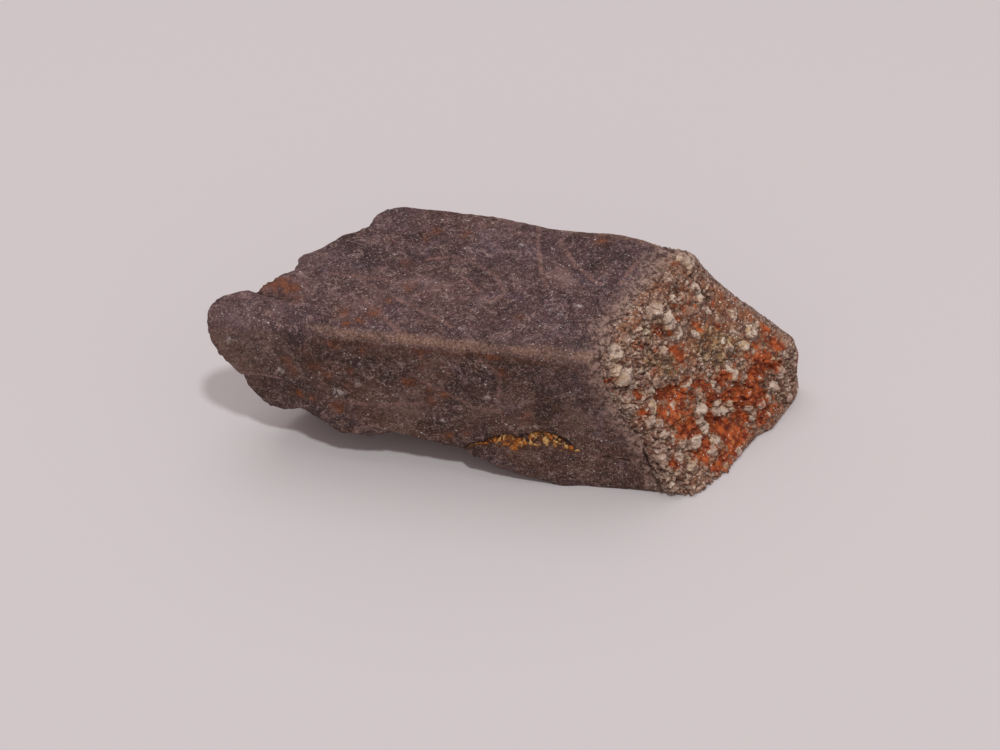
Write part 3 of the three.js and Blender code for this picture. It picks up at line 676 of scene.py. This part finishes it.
def crust_points():
    """Places, quads and surface measures of the end crust."""
    p, quads, normal, in_from_border, in_from_rim = crust_level()
    x, y, z = p.T
    warped = p + 0.3 * np.stack([rough(p, 0.6, 4, turn) for turn in (3.0, 7.0, 13.0)], 1)
    big, big_edge, _ = facets(warped, BIG_CRUMB, 2.0)
    middle, middle_edge, middle_tone = facets(warped, MIDDLE_CRUMB, 5.0)
    small, small_edge, small_tone = facets(warped, SMALL_CRUMB, 9.0)
    shade = small_tone - 0.5
    rust_gap = spot_gap(RUST_SPOTS, y, z) - 0.15 * in_oval(RUSTY_HOLLOW, y, z, 1.4)

    crumbs = 0.12 * middle + 0.13 * small + 0.2 * ease(middle_edge / 0.4) + 0.06 * ease(small_edge / 0.4)
    height = 0.18 * big + crumbs - 0.10 * ease(1 - big_edge / 0.14) - 0.1
    height -= 0.22 * ease(0.4 - rust_gap / 0.5)
    height, lump, lump_pale, foot = add_lumps(p, normal, warped, crumbs, height)
    grain_pale = 0.05 + 0.7 * middle_tone + 0.35 * shade
    rust_gap = rust_gap + 0.4 * shade + 0.3 * (middle_tone - 0.5)
    rust_gap = rust_gap + 0.26 * ease((z - 6) / 2) + 0.14 * ease((y - 8.5) / 2)

    # The coat thins out at the rims, on the top face and towards its ragged border.
    crack_gap = np.where(normal[:, 1] < -0.4, away_from(CORNER_CRACK, x, z), OFF_FACE)
    even = 0.16 + 0.84 * ease((in_from_rim - 0.35 + 0.3 * rough(p, 0.9, 2, 31.0)) / 0.8)
    height = height * even * (1 - 0.6 * ease(2 * normal[:, 2] - 0.6))
    height = height + 0.03 * rough(p, 0.16, 2, 51.0) + 0.05
    ragged = in_from_border + 0.5 * rough(p, 1.1, 4, 41.0) + 0.3 * middle + 0.2 * small
    level = mix(-0.25, height + 0.05, ease(ragged / 0.8)) - groove(crack_gap, CRUST_CRACK_SIZE)
    raised = p + normal * level[:, None]
    raised[:, 2] = np.maximum(raised[:, 2], 0)
    measures = {
        "height": height,
        "lump": lump,
        "paleness": np.where(lump_pale > 0, lump_pale + 0.3 * shade, grain_pale),
        "tone": small_tone,
        "tilt": (normals_of(raised, quads) - normal)[:, 2],
        "crevice": np.minimum.reduce([
            middle_edge * 0.62 + 0.3 * lump,
            big_edge * 1.2 + 0.3 * lump,
            foot,
            crack_gap - 0.08,
        ]),
        "rust_gap": rust_gap,
        "olive_gap": spot_gap(OLIVE_SPOTS, y, z),
        "rim": in_from_rim,
        "border": in_from_border,
    }
    return raised, quads, measures


def close_opening(mesh):
    """Closes a mesh's opening with a fan of triangles."""
    work = bmesh.new()
    work.from_mesh(mesh)
    openings = [edge for edge in work.edges if edge.is_boundary]
    caps = bmesh.ops.holes_fill(work, edges=openings, sides=0)["faces"]
    bmesh.ops.poke(work, faces=caps)
    work.to_mesh(mesh)
    work.free()


# ---- Mesh objects ----

def to_row(p):
    """Working frame in millimetres to the row frame in metres."""
    return (p + ORIGIN) * MM


def make_object(name, points, faces, measures):
    """A mesh in the row frame, whose measures become attributes of its points."""
    mesh = bpy.data.meshes.new(name)
    mesh.from_pydata(to_row(points).tolist(), [], faces.tolist())
    for key, values in measures.items():
        attribute = mesh.attributes.new(key, "FLOAT", "POINT")
        attribute.data.foreach_set("value", np.asarray(values, np.float32))
    mesh.shade_smooth()
    piece = bpy.data.objects.new(name, mesh)
    bpy.context.scene.collection.objects.link(piece)
    return piece


# ---- Materials ----

class Nodes:
    """A material's nodes, made with short calls that return output sockets. Its colour is one plain colour
    at first, over which others are painted."""

    def __init__(self, name, colour):
        self.colour = colour
        self.material = bpy.data.materials.new(name)
        self.material.use_nodes = True
        self.tree = self.material.node_tree
        self.shader = self.tree.nodes["Principled BSDF"]
        place = self.node("TexCoord").outputs["Object"]
        self.mm = self.node("VectorMath", {0: place, "Scale": 1 / MM}, operation="SCALE").outputs[0]

    def node(self, kind, inputs=None, **settings):
        """A new node with its inputs, by name or number, and its settings."""
        node = self.tree.nodes.new("ShaderNode" + kind)
        for key, value in settings.items():
            setattr(node, key, value)
        self.put(node, inputs or {})
        return node

    def put(self, node, inputs):
        """Links or sets a node's inputs."""
        for key, value in inputs.items():
            socket = node.inputs[key]
            if isinstance(value, bpy.types.NodeSocket):
                self.tree.links.new(value, socket)
            else:
                socket.default_value = (*value, 1) if socket.type == "RGBA" else value

    @cache
    def measure(self, name):
        """One of the mesh's own measures."""
        return self.node("Attribute", attribute_name=name).outputs["Fac"]

    def noise_node(self, size, detail, roughness=0.5, distortion=0.0):
        inputs = {"Vector": self.mm, "Scale": 0.5 / size, "Detail": detail}
        return self.node("TexNoise", {**inputs, "Roughness": roughness, "Distortion": distortion})

    @cache
    def noise(self, size, detail, roughness=0.5, distortion=0.0):
        """Noise from 0 to 1 whose lumps are about size millimetres across."""
        return self.noise_node(size, detail, roughness, distortion).outputs[0]

    def warped(self, size, amount):
        """The places, pushed about by noise, in millimetres."""
        noise = self.noise_node(size, 3).outputs["Color"]
        push = self.node("VectorMath", {0: noise, 1: (0.5, 0.5, 0.5)}, operation="SUBTRACT").outputs[0]
        inputs = {0: push, 1: (amount, amount, amount), 2: self.mm}
        return self.node("VectorMath", inputs, operation="MULTIPLY_ADD").outputs[0]

    def cells(self, size, place=None):
        """Voronoi cells about size millimetres across: the way from a cell's middle, and its own three
        numbers from 0 to 1."""
        node = self.node("TexVoronoi", {"Vector": place or self.mm, "Scale": 1 / size})
        own = self.node("SeparateColor", {0: node.outputs["Color"]})
        return node.outputs["Distance"], own.outputs

    def math(self, operation, a, b=0.0):
        return self.node("Math", {0: a, 1: b}, operation=operation).outputs[0]

    def plus(self, a, b):
        return self.math("ADD", a, b)

    def times(self, a, b):
        return self.math("MULTIPLY", a, b)

    def frayed(self, value, noise, amount):
        """The value shifted by -amount/2 to amount/2, as noise goes from 0 to 1."""
        return self.plus(value, self.times(self.math("SUBTRACT", noise, 0.5), amount))

    def ramp(self, value, low, high, out_low=0.0, out_high=1.0):
        """The value from low to high, eased to out_low to out_high."""
        inputs = {"Value": value, "From Min": low, "From Max": high, "To Min": out_low, "To Max": out_high}
        return self.node("MapRange", inputs, interpolation_type="SMOOTHSTEP").outputs["Result"]

    def blend(self, factor, a, b):
        """Colour a, or b as far as factor says."""
        return self.node("Mix", {0: factor, 6: a, 7: b}, data_type="RGBA").outputs[2]

    def paint(self, colour, *shares):
        """Paints a colour over the material's, as far as the product of its shares says."""
        self.colour = self.blend(reduce(self.times, shares), self.colour, colour)

    def bump(self, height, distance, normal=None):
        """Bump of height from 0 to 1 over distance millimetres, on top of another's normal."""
        under = {"Normal": normal} if normal else {}
        return self.node("Bump", {"Height": height, "Distance": distance * MM, **under}).outputs[0]

    def finish(self, roughness, normal, specular):
        inputs = {"Base Color": self.colour, "Roughness": roughness, "Normal": normal}
        self.put(self.shader, {**inputs, "Specular IOR Level": specular})
        return self.material


def srgb(*channels):
    """A colour from 0 to 255 a channel as Blender's linear one."""
    return tuple(((c / 255 + 0.055) / 1.055) ** 2.4 if c > 10 else c / 255 / 12.92 for c in channels)


# Noises that several layers share: size in millimetres, detail, roughness and distortion.
GRAIN = (0.075, 2, 0.6)
COARSE_GRAIN = (0.16, 3, 0.7)
RAGGED = (0.3, 4, 0.7)
PATCHES = (1.3, 4, 0.65, 0.8)
CRUST_FINE = (0.085, 3, 0.7)
CRUST_RAGGED = (0.28, 4, 0.7)
CRUST_CLOUDY = (0.35, 3, 0.6)


# ---- Zircon ----

PURPLE_BROWN = srgb(78, 53, 51)
GREY_PURPLE = srgb(78, 61, 72)
RED_BROWN = srgb(86, 54, 45)
OLIVE_BROWN = srgb(74, 53, 37)
PALE_GRAIN = srgb(158, 125, 120)
BEIGE_GRAIN = srgb(153, 121, 109)
WISP = srgb(176, 148, 142)
WHITE_SPECK_AND_GLINT = srgb(214, 202, 196)
DARK_GRAIN_AND_SHADE = srgb(34, 22, 20)
VEIN_PINK = srgb(146, 109, 101)
WORN_BEIGE = srgb(118, 85, 66)
STAIN_BROWN = srgb(96, 52, 30)
STAIN_ORANGE = srgb(148, 80, 38)
OCHRE = srgb(186, 108, 40)
CREAM = srgb(226, 180, 112)
CRUMB_DARK = srgb(80, 55, 48)
CRUMB_PALE = srgb(172, 142, 129)


@cache
def pale_clouds(n):
    """Where the zircon's pale grains gather, from 0.15 to 1."""
    cloud = n.frayed(n.noise(0.75, 3, 0.65, 1.2), n.noise(2.6, 3), 0.6)
    return n.ramp(cloud, 0.38, 0.64, 0.15, 1.0)


def paint_mottles(n):
    """Red-brown, grey and olive mottles, greyer on top and more olive on the sides."""
    upward = n.measure("upward")
    n.paint(RED_BROWN, n.ramp(n.noise(3.2, 2, 0.5, 0.6), 0.4, 0.62))
    n.paint(GREY_PURPLE, n.ramp(n.noise(*PATCHES), 0.5, 0.66, 0, 0.8))
    n.paint(OLIVE_BROWN, n.ramp(n.noise(0.9, 3, 0.6), 0.52, 0.7, 0, 0.7))
    n.paint(GREY_PURPLE, upward, 0.3)
    n.paint(OLIVE_BROWN, n.ramp(upward, 0.6, 0.1, 0, 0.3))


def paint_grains(n):
    """Salt and pepper: pale grains gathered in clouds and thin wisps, and dark ones between them."""
    grain, clouds = n.noise(*GRAIN), pale_clouds(n)
    pale = n.blend(n.measure("upward"), BEIGE_GRAIN, PALE_GRAIN)
    n.paint(pale, n.measure("nose"), 0.12)
    for size, dark_share, pale_share in ((0.3, 0.4, 0.2), (0.75, 0.5, 0.2), (2.2, 0.6, 0.22)):
        haze = n.noise(size, 3, 0.6, 0.8)
        n.paint(DARK_GRAIN_AND_SHADE, n.ramp(haze, 0.5, 0.32, 0, dark_share))
        n.paint(pale, n.ramp(haze, 0.54, 0.7, 0, pale_share))
    n.paint(pale, n.ramp(n.noise(*COARSE_GRAIN), 0.46, 0.68, 0, 0.22), clouds)
    n.paint(DARK_GRAIN_AND_SHADE, n.ramp(grain, 0.43, 0.27, 0, 0.85))
    n.paint(pale, n.ramp(grain, 0.56, 0.72, 0, 0.52))
    n.paint(pale, n.ramp(grain, 0.56, 0.72, 0, 0.5), clouds)
    for size, strength in ((0.35, 0.45), (0.7, 0.4), (1.5, 0.4)):
        from_middle = n.math("ABSOLUTE", n.math("SUBTRACT", n.noise(size, 3, 0.6, 1.6), 0.5))
        broken_up = n.ramp(n.noise(0.4 * size, 2, 0.6), 0.47, 0.6, 0, strength)
        n.paint(WISP, n.ramp(from_middle, 0.022, 0.006), broken_up)


def paint_glint_specks(n):
    """Bright specks of two sizes, painted glints, thickest in the clouds."""
    gathered = n.ramp(pale_clouds(n), 0.2, 0.8, 0.4, 1)
    sprinkled = n.times(gathered, n.ramp(n.noise(1.1, 3, 0.65), 0.4, 0.6, 0.45, 1))
    place = n.warped(0.08, 0.12)
    for size, chosen, strength in ((0.15, 0.84, 0.65), (0.22, 0.96, 0.95)):
        from_middle, own = n.cells(size, place)
        bright = n.ramp(own[0], chosen, chosen + 0.01, 0, strength)
        # Painted glints.
        n.paint(WHITE_SPECK_AND_GLINT, bright, n.ramp(from_middle, 0.45, 0.15), sprinkled)


def paint_marks(n):
    """Healed cracks, pale spots and stains of iron oxide."""
    patches, ragged, coarse_grain = n.noise(*PATCHES), n.noise(*RAGGED), n.noise(*COARSE_GRAIN)
    vein = n.ramp(n.frayed(n.measure("vein"), ragged, 0.7), 0.26, 0.02, 0, 0.78)
    n.paint(VEIN_PINK, vein, n.ramp(coarse_grain, 0.38, 0.6, 0.3, 1), n.ramp(patches, 0.36, 0.56, 0.5, 1))
    spot = n.ramp(n.frayed(n.measure("pale"), ragged, 0.6), 0.1, -0.25)
    n.paint(WHITE_SPECK_AND_GLINT, spot, n.ramp(coarse_grain, 0.44, 0.6, 0.05, 0.5))

    stain = n.frayed(n.measure("stain"), ragged, -1.3)
    stain_tone = n.blend(n.ramp(ragged, 0.42, 0.62), STAIN_BROWN, STAIN_ORANGE)
    n.paint(STAIN_BROWN, n.ramp(stain, 0.7, 0, 0, 0.28))
    n.paint(stain_tone, n.ramp(stain, 0.2, -0.3, 0, 0.62), n.ramp(coarse_grain, 0.3, 0.55, 0.4, 1))
    n.paint(STAIN_BROWN, n.ramp(n.noise(0.4, 3, 0.7, 0.8), 0.58, 0.7), n.ramp(patches, 0.42, 0.3, 0, 0.6))


def paint_worn_ridges(n):
    """Beige where the ridges are worn, with a brown band beneath."""
    coarse_grain = n.noise(*COARSE_GRAIN)
    band = n.plus(n.measure("ridge"), n.times(n.noise(0.5, 4, 0.75), 1.2))
    n.paint(STAIN_BROWN, n.ramp(band, 1.9, 1.2, 0, 0.4), n.ramp(n.measure("upward"), 0.6, 0.2))
    tone = n.blend(n.ramp(n.noise(*GRAIN), 0.42, 0.6), WORN_BEIGE, BEIGE_GRAIN)
    tone = n.blend(n.ramp(coarse_grain, 0.42, 0.26, 0, 0.7), tone, OLIVE_BROWN)
    patchy = n.ramp(n.noise(1.2, 3, 0.65), 0.36, 0.56, 0.5, 0.9)
    patchy = n.times(patchy, n.ramp(coarse_grain, 0.3, 0.56, 0.5, 1))
    n.paint(tone, n.ramp(band, 1.45, 0.75), patchy)


def paint_margin_crumbs(n):
    """Crumbs of feldspar, thicker towards the crust."""
    tone = n.frayed(n.noise(*COARSE_GRAIN), n.measure("crumb_tone"), 0.16)
    crumb = n.blend(n.ramp(tone, 0.37, 0.58), CRUMB_DARK, CRUMB_PALE)
    crumb = n.blend(n.ramp(n.measure("crumb_edge"), 0.14, 0.02, 0, 0.3), crumb, CRUMB_DARK)
    crumb = n.blend(n.ramp(n.noise(*GRAIN), 0.42, 0.28, 0, 0.5), crumb, DARK_GRAIN_AND_SHADE)
    near = n.plus(n.measure("crust"), n.times(n.noise(0.32, 4, 0.75), 3.4))
    n.paint(crumb, n.ramp(near, 0.2, 2.0, 0, 0.85))


def paint_nose_ledge(n):
    """The nose's ledge: a pale edge over a shaded recess."""
    below = n.measure("nose_step")
    edge = n.ramp(n.frayed(below, n.noise(*RAGGED), 0.5), -0.3, -0.06, 0, 0.55)
    n.paint(PALE_GRAIN, edge, n.ramp(below, 0.12, 0.02))
    # Painted shade in the recess below the ledge.
    n.paint(DARK_GRAIN_AND_SHADE, n.ramp(below, 0.02, 0.12, 0, 0.55), n.ramp(below, 0.6, 0.15))


def paint_lip(n):
    """The front ledge's crumbly ochre lip under a crack darkened with painted shade. Returns the height of
    its crumbs.
    """
    _, own = n.cells(0.26, n.warped(0.2, 0.3))
    depth = n.frayed(n.measure("ledge"), n.noise(0.24, 4, 0.7), -1.1)
    depth = n.frayed(depth, own[2], 1.0)
    lip = n.blend(n.ramp(own[1], 0.1, 0.8), STAIN_BROWN, OCHRE)
    cream = n.times(n.ramp(n.noise(0.7, 2, 0.6), 0.42, 0.52), n.ramp(own[0], 0.25, 0.5, 0, 0.85))
    lip = n.blend(cream, lip, CREAM)
    lip = n.blend(n.ramp(n.noise(0.13, 3, 0.75), 0.5, 0.38, 0, 0.85), lip, STAIN_BROWN)
    under_crack = n.ramp(depth, -0.1, 0.05)
    on_lip = n.times(under_crack, n.ramp(depth, 1.0, 0.6))
    n.paint(STAIN_BROWN, under_crack, n.ramp(depth, 1.7, 0.8, 0, 0.5))
    n.paint(lip, on_lip)
    # Painted shade in the crack over the lip.
    n.paint(DARK_GRAIN_AND_SHADE, n.ramp(depth, -0.5, -0.2), n.ramp(depth, 0.12, -0.05, 0, 0.75))
    return n.times(on_lip, own[1])


def zircon_material():
    """Zircon: mottled purple-brown, veined and speckled, worn beige along its ridges."""
    n = Nodes("zircon_skin", PURPLE_BROWN)
    for paint_layer in (paint_mottles, paint_grains, paint_glint_specks, paint_marks, paint_worn_ridges,
                        paint_margin_crumbs, paint_nose_ledge):
        paint_layer(n)
    lip_height = paint_lip(n)
    # Painted shade in the cracks of the front face and the nose's top.
    n.paint(DARK_GRAIN_AND_SHADE, n.ramp(n.frayed(n.measure("crack"), n.noise(*RAGGED), 0.4), 0.17, 0.05, 0, 0.8))

    bumps = n.bump(n.noise(*COARSE_GRAIN), 0.06, n.bump(n.noise(0.45, 4, 0.7), 0.16))
    bumps = n.bump(lip_height, 0.3, bumps)
    return n.finish(n.ramp(n.noise(*GRAIN), 0.5, 0.75, 0.7, 0.42), bumps, 0.25)


# ---- Feldspar and iron oxide. A pair of colours is a darker and a paler one. ----

DULL_GRAIN = srgb(94, 55, 41)
BROWN_GRAIN = srgb(154, 109, 88)
GREY_GRAIN = (srgb(124, 88, 71), srgb(184, 147, 125))
FELDSPAR = (srgb(164, 137, 120), srgb(233, 212, 194))
YELLOWED = srgb(206, 164, 106)
OLIVE = (srgb(98, 68, 42), srgb(164, 130, 80))
WARM_BROWN = srgb(164, 98, 58)
WORN_TOP_AND_HIGHLIGHT = srgb(212, 188, 172)
DIRTY_FOOT_AND_SHADE = srgb(84, 52, 40)
LIT_UPPER_SIDE = srgb(226, 203, 183)
SHADED_UNDERSIDE = srgb(76, 48, 38)
PALE_FLECK_AND_GLINT = srgb(226, 203, 185)
DARK_FLECK = srgb(62, 37, 27)
RUST = (srgb(126, 44, 20), srgb(202, 96, 42))
BROWN_RUST = srgb(108, 52, 28)
PALE_RUST = srgb(220, 150, 92)
RUST_HALO = srgb(172, 100, 52)
CREVICE_SHADE = srgb(68, 43, 34)
RUSTY_CREVICE_SHADE = srgb(70, 22, 10)
PAINTED_GLINT = srgb(242, 230, 220)


def paint_feldspar(n):
    """Brown, grey and pale grains, in places olive between the lumps or stained warm brown."""
    tone, lump = n.measure("tone"), n.measure("lump")
    ragged, cloudy = n.noise(*CRUST_RAGGED), n.noise(*CRUST_CLOUDY)
    pale = n.blend(n.ramp(cloudy, 0.4, 0.6), *FELDSPAR)
    pale = n.blend(n.ramp(n.noise(0.6, 3, 0.6), 0.52, 0.64, 0, 0.6), pale, YELLOWED)
    level = n.frayed(n.measure("paleness"), ragged, 1.0)
    n.paint(BROWN_GRAIN, tone)
    n.paint(n.blend(tone, *GREY_GRAIN), n.ramp(level, 0.22, 0.48))
    n.paint(pale, n.ramp(level, 0.52, 0.76))
    olive = n.ramp(n.plus(n.measure("olive_gap"), n.times(ragged, 1.6)), 1.1, 0.6, 0, 0.75)
    n.paint(n.blend(n.ramp(cloudy, 0.4, 0.6), *OLIVE), olive, n.ramp(lump, 0.5, 0.1))
    n.paint(WARM_BROWN, n.ramp(n.noise(0.42, 3, 0.65), 0.48, 0.62, 0, 0.6), n.ramp(lump, 0.6, 0.2))


def paint_wear_and_shading(n):
    """The grains' tops worn paler and their feet dirtier, in part painted highlight and painted shade, and
    their upper sides painted lit and their undersides painted in shade.
    """
    height, tilt = n.frayed(n.measure("height"), n.noise(*CRUST_FINE), 0.2), n.measure("tilt")
    # Paler tops and darker feet: wear and dirt, and also painted highlight and painted shade.
    n.paint(WORN_TOP_AND_HIGHLIGHT, n.ramp(height, 0.14, 0.46, 0, 0.4))
    n.paint(DIRTY_FOOT_AND_SHADE, n.ramp(height, 0.0, -0.28, 0, 0.7))
    # Painted highlight on the sides that face up, painted shade on those that face down.
    n.paint(LIT_UPPER_SIDE, n.ramp(tilt, 0.1, 0.6, 0, 0.3))
    n.paint(SHADED_UNDERSIDE, n.ramp(tilt, 0.1, -0.55, 0, 0.62))


def paint_zircon_rims(n):
    """Purple-grey or beige crumbs of zircon at the rims and the border."""
    ragged = n.noise(*CRUST_RAGGED)
    rim = n.ramp(n.plus(n.measure("rim"), ragged), 1.2, 0.8, 0, 0.85)
    border = n.ramp(n.plus(n.measure("border"), n.times(ragged, 1.4)), 1.6, 0.8, 0, 0.75)
    crumb = n.blend(n.ramp(n.noise(*COARSE_GRAIN), 0.38, 0.6), CRUMB_DARK, CRUMB_PALE)
    n.paint(crumb, n.math("MAXIMUM", rim, border))


def paint_flecks(n):
    """Pale and dark flecks, fainter on the lumps. The pale ones are partly painted glints."""
    fine = n.noise(*CRUST_FINE)
    off_lump = n.ramp(n.measure("lump"), 0.2, 0.8, 0.72, 0.42)
    # Pale flecks: grain and painted glints.
    n.paint(PALE_FLECK_AND_GLINT, n.ramp(fine, 0.56, 0.66), off_lump)
    n.paint(DARK_FLECK, n.ramp(fine, 0.45, 0.34), off_lump)


def paint_rust(n):
    """Iron oxide between and thinly over the grains. Returns how far it covers them."""
    paleness, lump = n.measure("paleness"), n.measure("lump")
    bare = n.times(lump, n.ramp(paleness, 0.4, 0.8, 0.1, 0.55))
    gap = n.plus(n.frayed(n.measure("rust_gap"), n.noise(*CRUST_RAGGED), -0.9), bare)
    tone = n.blend(n.ramp(n.noise(*CRUST_CLOUDY), 0.36, 0.62), *RUST)
    tone = n.blend(n.ramp(n.measure("tone"), 0.25, 0.05, 0, 0.6), tone, BROWN_RUST)
    tone = n.blend(n.ramp(n.noise(0.18, 2, 0.6), 0.54, 0.7, 0, 0.65), tone, PALE_RUST)
    n.paint(RUST_HALO, n.ramp(gap, 0.6, 0.05, 0, 0.42))
    scattered = n.times(n.ramp(n.noise(0.26, 3, 0.6), 0.6, 0.66, 0, 0.75), n.ramp(lump, 0.4, 0.1))
    scattered = n.times(scattered, n.ramp(paleness, 0.6, 0.3))
    rust = n.math("MAXIMUM", n.ramp(gap, 0.18, 0.0, 0, 0.93), scattered)
    n.paint(tone, rust)
    return rust


def crust_material():
    """Feldspar grains from white to grey-brown, with iron oxide in the gaps and hollows between them,
    painted shade in their crevices and painted glints.
    """
    n = Nodes("crust_grains", DULL_GRAIN)
    for paint_layer in (paint_feldspar, paint_wear_and_shading, paint_zircon_rims, paint_flecks):
        paint_layer(n)
    rust = paint_rust(n)
    # Painted shade in the crevices between crumbs, at the lumps' feet and in the crack, a darker red where
    # rust lies.
    crevice = n.frayed(n.measure("crevice"), n.noise(*CRUST_RAGGED), 0.2)
    n.paint(n.blend(rust, CREVICE_SHADE, RUSTY_CREVICE_SHADE), n.ramp(crevice, 0.09, -0.01, 0, 0.62))
    # Painted glints: a few small near-white cells.
    from_middle, own = n.cells(0.13)
    n.paint(PAINTED_GLINT, n.ramp(own[0], 0.95, 0.96), n.ramp(from_middle, 0.5, 0.3), 0.85)

    fine = n.noise(*CRUST_FINE)
    bumps = n.bump(fine, 0.04, n.bump(n.noise(0.22, 3, 0.65), 0.10))
    roughness = n.math("MAXIMUM", n.ramp(fine, 0.48, 0.66, 0.6, 0.3), n.times(rust, 0.8))
    return n.finish(roughness, bumps, 0.35)


# ---- Camera, light and floor ----

ELEVATION = math.radians(44.5)
TURN = math.radians(8.3)
CAMERA_AT = (13.63, -142.88, 152.47)  # working frame
FOCAL_PIXELS = 2800
FRAME_WIDTH = 1000
SENSOR_WIDTH = 36

SKY_COLOUR = (1, 0.88, 0.855)
SKY_STRENGTH = 0.41

# Round lights that aim at the origin: name, place and width in metres, watts and colour.
LIGHTS = [("softbox", (-0.1, 0.14, 0.6), 0.45, 0.9, (0.99, 0.985, 1)),
          ("key", (0.1, -0.25, 0.63), 0.055, 1.5, (0.96, 1, 1))]

FLOOR_SIZE = 3
FLOOR_COLOUR = (0.715, 0.668, 0.682)


def add_camera():
    camera = bpy.data.cameras.new("camera")
    camera.sensor_width = SENSOR_WIDTH
    camera.lens = SENSOR_WIDTH * FOCAL_PIXELS / FRAME_WIDTH
    camera.clip_start = 0.01
    holder = bpy.data.objects.new("camera", camera)
    holder.location = to_row(np.array(CAMERA_AT))
    holder.rotation_euler = Euler((math.pi / 2 - ELEVATION, 0, TURN))
    bpy.context.scene.collection.objects.link(holder)
    bpy.context.scene.camera = holder


def add_light():
    world = bpy.data.worlds.new("studio")
    bpy.context.scene.world = world
    world.use_nodes = True
    background = world.node_tree.nodes["Background"]
    background.inputs["Color"].default_value = (*SKY_COLOUR, 1)
    background.inputs["Strength"].default_value = SKY_STRENGTH
    for name, place, width, power, colour in LIGHTS:
        light = bpy.data.lights.new(name, "AREA")
        light.shape, light.size, light.energy, light.color = "DISK", width, power, colour
        holder = bpy.data.objects.new(name, light)
        holder.location = place
        holder.rotation_euler = (-Vector(place)).to_track_quat("-Z", "Y").to_euler()
        bpy.context.scene.collection.objects.link(holder)


def add_floor():
    bpy.ops.mesh.primitive_plane_add(size=FLOOR_SIZE)
    floor = bpy.context.object
    floor.name = "floor"
    n = Nodes("pale_floor", FLOOR_COLOUR)
    floor.data.materials.append(n.finish(0.9, n.bump(n.noise(0.6, 3), 0.01), 0.2))


# ---- Assembly ----

bpy.context.scene.view_settings.view_transform = "Standard"
add_camera()
add_light()
add_floor()

body = make_object("crystal_body", *body_points())
body.data.materials.append(zircon_material())

crust = make_object("end_crust", *crust_points())
close_opening(crust.data)
crust.data.materials.append(crust_material())

for piece in (body, crust):
    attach(piece, "root")
    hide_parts(NODE)
